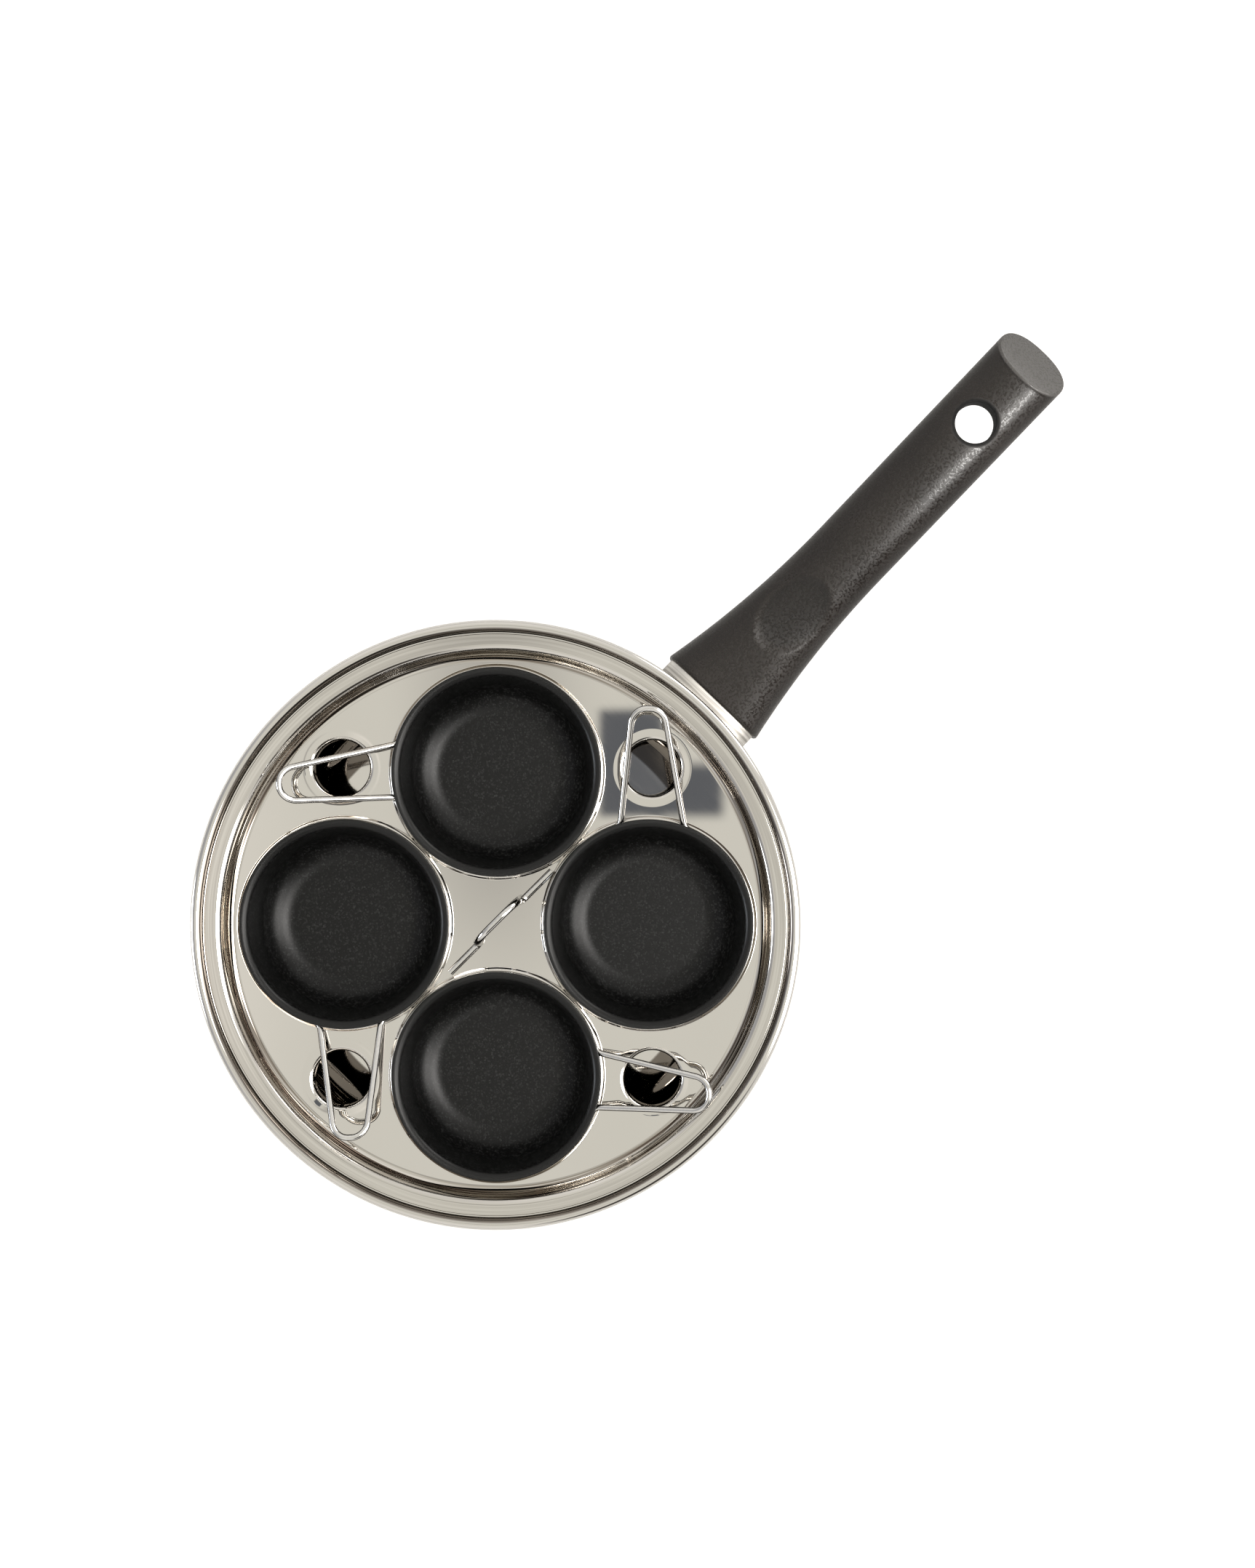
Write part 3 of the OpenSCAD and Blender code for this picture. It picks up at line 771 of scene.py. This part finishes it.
def make_tray():
    """Stepped dish with raised cup seats and drawn finger holes."""
    line = bent([(0, TRAY_MID_Z), (STEP_FOOT_R, TRAY_MID_Z), (STEP_TOP_R, FLANGE_MID_Z),
                 (FLANGE_R - TRAY_T / 2, FLANGE_MID_Z)], (0, STEP_FOOT_BEND, STEP_TOP_BEND, 0))[1:]
    skin = spin(sheet(line, TRAY_T, open_start=True))

    seat_r = MOUTH_R + CUP_T + SEAT_GAP + TRAY_T / 2
    top = TRAY_MID_Z + COLLAR_RISE
    seat = bent([(COLLAR_R, TRAY_MID_Z), (COLLAR_R - SEAT_SHOULDER, TRAY_MID_Z),
                 (COLLAR_R - SEAT_INSET, top), (seat_r, top),
                 (seat_r, TRAY_MID_Z - SEAT_DROP + TRAY_T / 2)],
                (0, SEAT_BEND, SEAT_BEND, SEAT_EDGE_BEND, 0))
    dish_r = FINGER_R + FINGER_DISH
    wall_r = FINGER_R + TRAY_T / 2
    finger = bent([(dish_r, TRAY_MID_Z), (dish_r - FINGER_SHOULDER, TRAY_MID_Z),
                   (wall_r, TRAY_MID_Z - FINGER_SINK),
                   (wall_r, TRAY_MID_Z - FINGER_DROP + TRAY_T / 2)],
                  (0, FINGER_BEND, FINGER_EDGE_BEND, 0))
    cup_seat = meeting(spin(sheet(seat, TRAY_T, open_start=True), HOLE_STEPS), seat)
    finger_hole = spin(sheet(finger, TRAY_T, open_start=True), HOLE_STEPS)
    openings = ((45, CUP_PITCH, COLLAR_R, cup_seat), (0, FINGER_PITCH, dish_r, finger_hole))
    holes = []
    for turn, pitch, radius, formed in openings:
        for n in range(4):
            place = turned_about(TRAY_TURN + turn + 90 * n, pitch, 0)
            x, y, _ = place.translation
            holes.append((x, y, radius))
            skin = skin.joined(formed.moved(place))
    flat_r = line[0][0]
    for up in (1, -1):
        skin = skin.joined(plate(TRAY_MID_Z + up * TRAY_T / 2, up, flat_r, holes))
    piece("tray_dish", skin, TRAY_STEEL, "tray", "tray")


def make_lift_handle():
    """Wire with two welded feet and a leaning finger arch."""
    r, top = LIFT_WIRE_R, LIFT_HEIGHT - LIFT_WIRE_R
    line = bent([(-LIFT_FOOT, r), (-LIFT_LEG, r), (-LIFT_LEG, top), (LIFT_LEG, top), (LIFT_LEG, r),
                 (LIFT_FOOT, r)],
                (0, LIFT_FOOT_BEND, LIFT_ARCH_BEND, LIFT_ARCH_BEND, LIFT_FOOT_BEND, 0))
    points = [(x, LIFT_LEAN * (z - r), z) for x, z, _, _ in line]
    place = turned_about(TRAY_TURN, *LIFT_AT, TRAY_Z)
    piece("lift_wire", tube(points, r, (0, 1, 0)).moved(place), WIRE, "tray", "lift_handle")


# Cups


def cup_place(n):
    """Matrix that puts a cup in its hole, with its loop along its own x."""
    turn = Matrix.Rotation(math.radians(90 + CUP_TURN[n]), 4, "Z")
    return turned_about(TRAY_TURN + 45 + 90 * n, CUP_PITCH, 0) @ turn


def wire_path(n):
    """Middle line of a cup's wire: a ring whose ends bend out into a raised, leaning loop."""
    side, tip, lean, reach = LOOP_ROOT_W[n] / 2, LOOP_TIP_W / 2, LOOP_LEAN[n], LOOP_REACH[n]
    root = math.sqrt(RING_R ** 2 - side ** 2)
    gap = math.asin(side / RING_R) + ROOT_BEND / RING_R
    angles = [gap + (2 * math.pi - 2 * gap) * i / 90 for i in range(91)]
    ring = [np.array((RING_R * math.cos(a), RING_R * math.sin(a), 0)) for a in angles]
    flat = bent([(root, -side), (reach, lean - tip), (reach, lean + tip), (root, side)],
                (0, LOOP_TIP_BEND, LOOP_TIP_BEND, 0))
    loop = [np.array((x, y, LOOP_RISE * (x - root) / (reach - root))) for x, y, _, _ in flat]
    leave = loop[0] + ROOT_BEND * unit(loop[1] - loop[0])
    arrive = loop[-1] + ROOT_BEND * unit(loop[-2] - loop[-1])
    legs = [[leave + (loop[1] - leave) * k / 12 for k in range(12)],
            [loop[-2] + (arrive - loop[-2]) * k / 12 for k in range(1, 13)]]
    return (ring + bezier(ring[-1], loop[0], leave) + legs[0] + loop[1:-1] + legs[1]
            + bezier(arrive, loop[-1], ring[0]))


def make_cups():
    """Four coated cups with flared lips, each on its wire ring and loop."""
    mid = CUP_T / 2
    low = LIP_Z - CUP_DEPTH - mid
    top = LIP_Z - mid
    line = bent([(0, low), (CUP_FLOOR_R + mid, low), (MOUTH_R + mid, top), (LIP_R - mid, top)],
                (0, CUP_BEND_R, LIP_R - MOUTH_R - mid - 0.4, 0))
    shell = spin(sheet(line, CUP_T, open_start=True), CUP_STEPS)
    for n in range(4):
        name = f"cup_{n + 1}"
        piece(f"{name}_shell", shell.moved(cup_place(n)), COATING, name, name)
        skin = tube(wire_path(n), WIRE_R, (0, 0, 1), closed=True)
        place = cup_place(n) @ Matrix.Translation((0, 0, RING_Z))
        piece(f"{name}_wire", skin.moved(place), WIRE, name, f"cup_wire_{n + 1}")


# Handle


def flare(u):
    """How much of the root's flare is left at distance u."""
    return (1 - u / FLARE_LEN) ** 2 if u < FLARE_LEN else 0.0


def handle_z(u):
    """Height of the handle's centre line at distance u."""
    rise = ROOT_RISE - (ROOT_RISE - END_RISE) / 2 * u / HANDLE_LEN
    return ROOT_Z + u * math.tan(math.radians(rise))


def handle_slope(u):
    """Rise of the handle at distance u, in radians."""
    return math.radians(ROOT_RISE - (ROOT_RISE - END_RISE) * u / HANDLE_LEN)


def section_tilt(u):
    """Tilt of the section at distance u: upright at the root, square past the flare."""
    return handle_slope(u) * (1 - flare(u))


def round_box(a, b, n, t):
    """Point of a rounded rectangle of half sizes a and b at angle t."""
    c, s = math.cos(t), math.sin(t)
    return (a * math.copysign(abs(c) ** (2 / n), c), b * math.copysign(abs(s) ** (2 / n), s))


def thumb_dip(u, y):
    """Depth of the thumb recess at distance u and offset y."""
    q = (2 * (u - THUMB_U) / THUMB_SIZE[0]) ** 2 + (2 * y / THUMB_SIZE[1]) ** 2
    return THUMB_DEPTH * (1 - q) ** 0.6 if q < 1 else 0.0


def handle_point(u, t, inset):
    """Point of the handle's skin at distance u and angle t round it."""
    y, z = round_box(GRIP_W / 2 + (ROOT_W - GRIP_W) / 2 * flare(u) - inset,
                     GRIP_H / 2 + (ROOT_H - GRIP_H) / 2 * flare(u) - inset - SKIN_TRIM,
                     GRIP_SQUARENESS + FLARE_SQUARENESS * flare(u), t)
    z -= thumb_dip(u, y) if z > 0 else 0
    s = section_tilt(u)
    return np.array([ROOT_X + u - z * math.sin(s), y, handle_z(u) + z * math.cos(s)])


def make_handle():
    """Lofted grip with a rounded root, a cut and softly rounded end face, and a hanging hole."""
    sides = GRIP_SIDES
    cut = unit((math.sin(math.radians(END_CUT)), 0, math.cos(math.radians(END_CUT))))
    centre = np.array([ROOT_X + HANDLE_LEN, 0, handle_z(HANDLE_LEN)])
    angles = [2 * math.pi * (j + 0.5) / sides for j in range(sides)]

    def reach(t):
        """Distance at which the skin meets the end face, less its rounded edge."""
        low, high = HANDLE_LEN - 30, HANDLE_LEN + 30
        for _ in range(30):
            u = (low + high) / 2
            inside = (handle_point(u, t, 0) - centre) @ cut < -END_EDGE
            low, high = (u, high) if inside else (low, u)
        return low

    ends = [reach(t) for t in angles]
    rings = []
    for k in range(9):
        a = math.pi / 2 * k / 8
        inset = ROOT_EDGE * (1 - math.sin(a))
        rings.append([handle_point(ROOT_EDGE * (1 - math.cos(a)), t, inset) for t in angles])
    for k in range(1, GRIP_STATIONS + 1):
        f = k / GRIP_STATIONS
        rings.append([handle_point(ROOT_EDGE + (end - ROOT_EDGE) * f, t, 0)
                      for t, end in zip(angles, ends)])
    rim = rings[-1]
    for k in range(1, 7):
        a = math.pi / 2 * k / 6
        ring = []
        for q in rim:
            inward = centre - q
            inward = unit(inward - cut * (inward @ cut))
            ring.append(q + cut * END_EDGE * math.sin(a) + inward * END_EDGE * (1 - math.cos(a)))
        rings.append(ring)

    verts = [tuple(q * MM) for ring in rings for q in ring]
    faces = [tuple(reversed(range(sides)))] + ring_faces(len(rings), sides)
    faces.append(tuple((len(rings) - 1) * sides + j for j in range(sides)))
    grip = add_object("handle_grip", new_mesh("handle_grip", verts, faces))
    drill(grip)
    grip.data.polygons.foreach_set("use_smooth", [True] * len(grip.data.polygons))
    grip.data.set_sharp_from_angle(angle=math.radians(40))
    grip.data.materials.append(RESIN)
    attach(grip, "pan")
    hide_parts("handle")
    return grip


def drill(grip):
    """Cuts the hanging hole, with its softly rounded edges, and the screw well into the grip."""
    flat, end = GRIP_H / 2 - HOLE_EDGE, GRIP_H / 2 + CUTTER_PAST
    steps = 10
    bends = [math.pi / 2 * k / steps for k in range(steps, -1, -1)]
    curve = [(HOLE_R + HOLE_SOFT * (1 - math.cos(a)), -flat - HOLE_SOFT * math.sin(a))
             for a in bends]
    hole = [(CUTTER_WIDE, -end)] + curve + [(x, -z) for x, z in reversed(curve)]
    hole.append((CUTTER_WIDE, end))
    well = [(SCREW_WELL_R, -WELL_PAST), (SCREW_WELL_R, -SCREW_SEAT)]
    cuts = (("hanging_hole", hole, HOLE_U, 0), ("screw_well", well, 0, SCREW_U))
    for name, outline, at, along in cuts:
        place = (Matrix.Translation(((ROOT_X + at) * MM, 0, handle_z(at) * MM))
                 @ Matrix.Rotation(-handle_slope(at), 4, "Y")
                 @ Matrix.Translation((along * MM, 0, 0)))
        cut_round(grip, name, outline, place)


def cut_round(grip, name, outline, place):
    """Cuts a turned shape, given by its outline of (radius, height), out of the grip."""
    n, count = CUT_SIDES, len(outline)
    verts = [(x * MM * math.cos(a), x * MM * math.sin(a), z * MM)
             for x, z in outline for a in round_angles(n)]
    faces = ring_faces(count, n)
    faces.append(tuple(reversed(range(n))))
    faces.append(tuple((count - 1) * n + j for j in range(n)))
    cutter = add_object(name, new_mesh(name, verts, faces))
    cutter.matrix_world = place
    cut = grip.modifiers.new(name, "BOOLEAN")
    cut.operation = "DIFFERENCE"
    cut.solver = "EXACT"
    cut.object = cutter
    graph = bpy.context.evaluated_depsgraph_get()
    graph.update()
    done = bpy.data.meshes.new_from_object(grip.evaluated_get(graph))
    grip.modifiers.clear()
    grip.data = done
    bpy.data.objects.remove(cutter)


def make_flame_guard():
    """Brushed sleeve between the pan's wall and the handle's root, with a plate at the handle."""
    sides, steps = GUARD_SIDES, GUARD_STEPS
    along = np.array([1.0, 0, 0])
    root = np.array([ROOT_X, 0, ROOT_Z])
    wall_out = WALL_R + PAN_T / 2

    def section(inset, t):
        """Point of the sleeve's section at angle t."""
        less = GUARD_INSET + inset
        y, z = round_box(ROOT_W / 2 - less, ROOT_H / 2 - less, GUARD_SQUARENESS, t)
        return np.array([0, y, z])

    def to_wall(q):
        """How far back a point of the sleeve's section meets the pan's wall."""
        return ROOT_X - math.sqrt(wall_out ** 2 - q[1] ** 2)

    skin = Skin()
    for inset, side in ((0, 1), (GUARD_T, -1)):
        verts, normals, faces = [], [], []
        for t in round_angles(sides):
            q = section(inset, t)
            ahead, behind = section(inset, t + 0.01), section(inset, t - 0.01)
            n = unit(np.cross(ahead - behind, along)) * side
            back = to_wall(q)
            for k in range(steps + 1):
                verts.append(root + q - along * back * (1 - k / steps))
                normals.append(n)
        for j in range(sides):
            near, far = j * (steps + 1), (j + 1) % sides * (steps + 1)
            faces += [(near + k, far + k, far + k + 1, near + k + 1) for k in range(steps)]
        skin = skin.joined(Skin(verts, normals, faces))
    rim = [root + section(inset, t) for inset in (0, GUARD_T) for t in round_angles(sides)]
    faces = [(j, (j + 1) % sides, sides + (j + 1) % sides, sides + j) for j in range(sides)]
    skin = skin.joined(Skin(rim, [along] * (2 * sides), faces))
    plate_ring = [root + section(0, t) - along * GUARD_T for t in round_angles(sides)]
    skin = skin.joined(Skin(plate_ring, [-along] * sides, [tuple(range(sides))]))
    piece("guard_sleeve", skin, GUARD_STEEL, "pan", "flame_guard")


def dress_nodes():
    """Materials for the solids that stay as they are."""
    for name, material in (("base_core", ALUMINIUM), ("handle_bracket", FASTENER),
                           ("handle_washer", FASTENER), ("handle_screw", FASTENER)):
        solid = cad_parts[name]
        for held in solid.material_slots:
            held.material = material


# Studio


def make_floor():
    """Plain white floor that keeps a soft shadow."""
    square = ((-1, -1), (1, -1), (1, 1), (-1, 1))
    corners = [(x * FLOOR_REACH, y * FLOOR_REACH, 0) for x, y in square]
    floor = add_object("floor", new_mesh("floor", corners, [(0, 1, 2, 3)]))
    mat, tree, shader = new_material("floor_white")
    path = node(tree, "ShaderNodeLightPath").outputs
    seen = calc(tree, "ADD", path["Is Camera Ray"], path["Is Glossy Ray"], clamp=True)
    seen = calc(tree, "ADD", seen, path["Is Transmission Ray"], clamp=True)
    glow = calc(tree, "ADD", calc(tree, "MULTIPLY", seen, FLOOR_GLOW_SEEN),
                calc(tree, "MULTIPLY", path["Is Camera Ray"], FLOOR_GLOW_CAMERA))
    feed(tree, shader, {"Base Color": (*FLOOR_TONE, 1), "Roughness": 0.9,
                        "Emission Strength": glow, "Emission Color": (*WHITE, 1)})
    floor.data.materials.append(mat)


def image_way(azimuth, elevation):
    """Direction for an azimuth from the photograph's right and an elevation, in degrees."""
    a, e = math.radians(azimuth - IMAGE_TURN), math.radians(elevation)
    return Vector((math.cos(a) * math.cos(e), math.sin(a) * math.cos(e), math.sin(e)))


def smooth(tree, value, limits):
    """A value moved smoothly from one pair of limits to another."""
    moved = node(tree, "ShaderNodeMapRange", {"Value": value, **limits},
                 interpolation_type="SMOOTHSTEP")
    return moved.outputs["Result"]


def spot(tree, way, azimuth, elevation, inner, outer):
    """One inside an angle about a direction and fading to nothing at a wider angle."""
    facing = vector_calc(tree, "DOT_PRODUCT", way, image_way(azimuth, elevation))
    limits = {"From Min": math.cos(math.radians(outer)), "From Max": math.cos(math.radians(inner))}
    return smooth(tree, facing, limits)


def band(tree, value, centre, half, soft):
    """One where a value lies within half of a centre, fading to nothing over a soft edge."""
    off = calc(tree, "ABSOLUTE", calc(tree, "SUBTRACT", value, centre))
    limits = {"From Min": half - soft, "From Max": half + soft, "To Min": 1.0, "To Max": 0.0}
    return smooth(tree, off, limits)


def make_world():
    """Bright plain studio, with soft boxes and patches in reflections, and white for the camera."""
    world = bpy.data.worlds.new("studio")
    bpy.context.scene.world = world
    world.use_nodes = True
    tree = world.node_tree
    way = node(tree, "ShaderNodeTexCoord").outputs["Generated"]
    height = split(tree, way)["Z"]
    plain = ramp(tree, height, STUDIO_STOPS)
    studio = plain
    for azimuth, elevation, inner, outer, colour in SOFT_BOXES:
        studio = blend(tree, spot(tree, way, azimuth, elevation, inner, outer), studio, colour)
    across, up = (
        calc(tree, "DIVIDE", vector_calc(tree, "DOT_PRODUCT", way, image_way(azimuth, 0)), height)
        for azimuth in (0, 90))
    above = calc(tree, "GREATER_THAN", height, CEILING_FROM)
    for at, half, soft, colour in CEILING_PATCHES:
        shape = calc(tree, "MULTIPLY", band(tree, across, at[0], half[0], soft[0]),
                     band(tree, up, at[1], half[1], soft[1]))
        studio = blend(tree, calc(tree, "MULTIPLY", shape, above), studio, colour)
    path = node(tree, "ShaderNodeLightPath").outputs
    lit = blend(tree, path["Is Glossy Ray"], plain, studio)
    shown = blend(tree, path["Is Camera Ray"], lit, WHITE)
    feed(tree, tree.nodes["Background"], {"Color": shown, "Strength": 1.0})


def make_grip_lamp(grip):
    """Small soft lamp for the gloss along the handle's lower side, which lights nothing else."""
    lit = bpy.data.collections.new("lit_by_grip_lamp")
    lit.objects.link(grip)
    light = bpy.data.lights.new("grip_lamp", "AREA")
    light.size = LAMP_SIZE
    light.energy = LAMP_POWER
    light.color = LAMP_COLOUR
    lamp = add_object("grip_lamp", light)
    way = image_way(*LAMP_WAY)
    lamp.location = Vector(LAMP_AIM) + way * LAMP_FAR
    lamp.rotation_mode = "QUATERNION"
    lamp.rotation_quaternion = (-way).to_track_quat("-Z", "Y")
    lamp.visible_camera = False
    lamp.light_linking.receiver_collection = lit


def make_camera():
    """Camera straight above, turned so that the handle points up and to the right."""
    data = bpy.data.cameras.new("camera")
    data.sensor_width = SENSOR
    data.lens = FOCAL_PX / PHOTO_H * SENSOR
    data.clip_start, data.clip_end = 0.01, 20
    camera = add_object("camera", data)
    camera.location = [c * MM for c in CAMERA_AT]
    camera.rotation_euler = (0, 0, math.radians(-IMAGE_TURN))
    bpy.context.scene.camera = camera


STEEL = polished_steel("polished_steel", STEEL_COLOUR, PAN_ROUGH, pan_painted_shade)
TRAY_STEEL = polished_steel("tray_steel", STEEL_COLOUR, TRAY_ROUGH, tray_painted_reflection)
GUARD_STEEL = brushed_steel("brushed_steel")
BASE_STEEL = turned_steel("base_steel")
WIRE = bright_wire("bright_wire")
COATING = speckled_coating("speckled_coating")
RESIN = grained_resin("grained_resin")
FASTENER = plain_metal("plated_steel", PLATED_COLOUR, PLATED_ROUGH)
ALUMINIUM = plain_metal("aluminium", ALUMINIUM_COLOUR, ALUMINIUM_ROUGH)

make_camera()
make_pan()
make_tray()
make_lift_handle()
make_cups()
grip = make_handle()
make_flame_guard()
dress_nodes()
make_floor()
make_world()
make_grip_lamp(grip)
bpy.context.scene.view_settings.view_transform = "Standard"
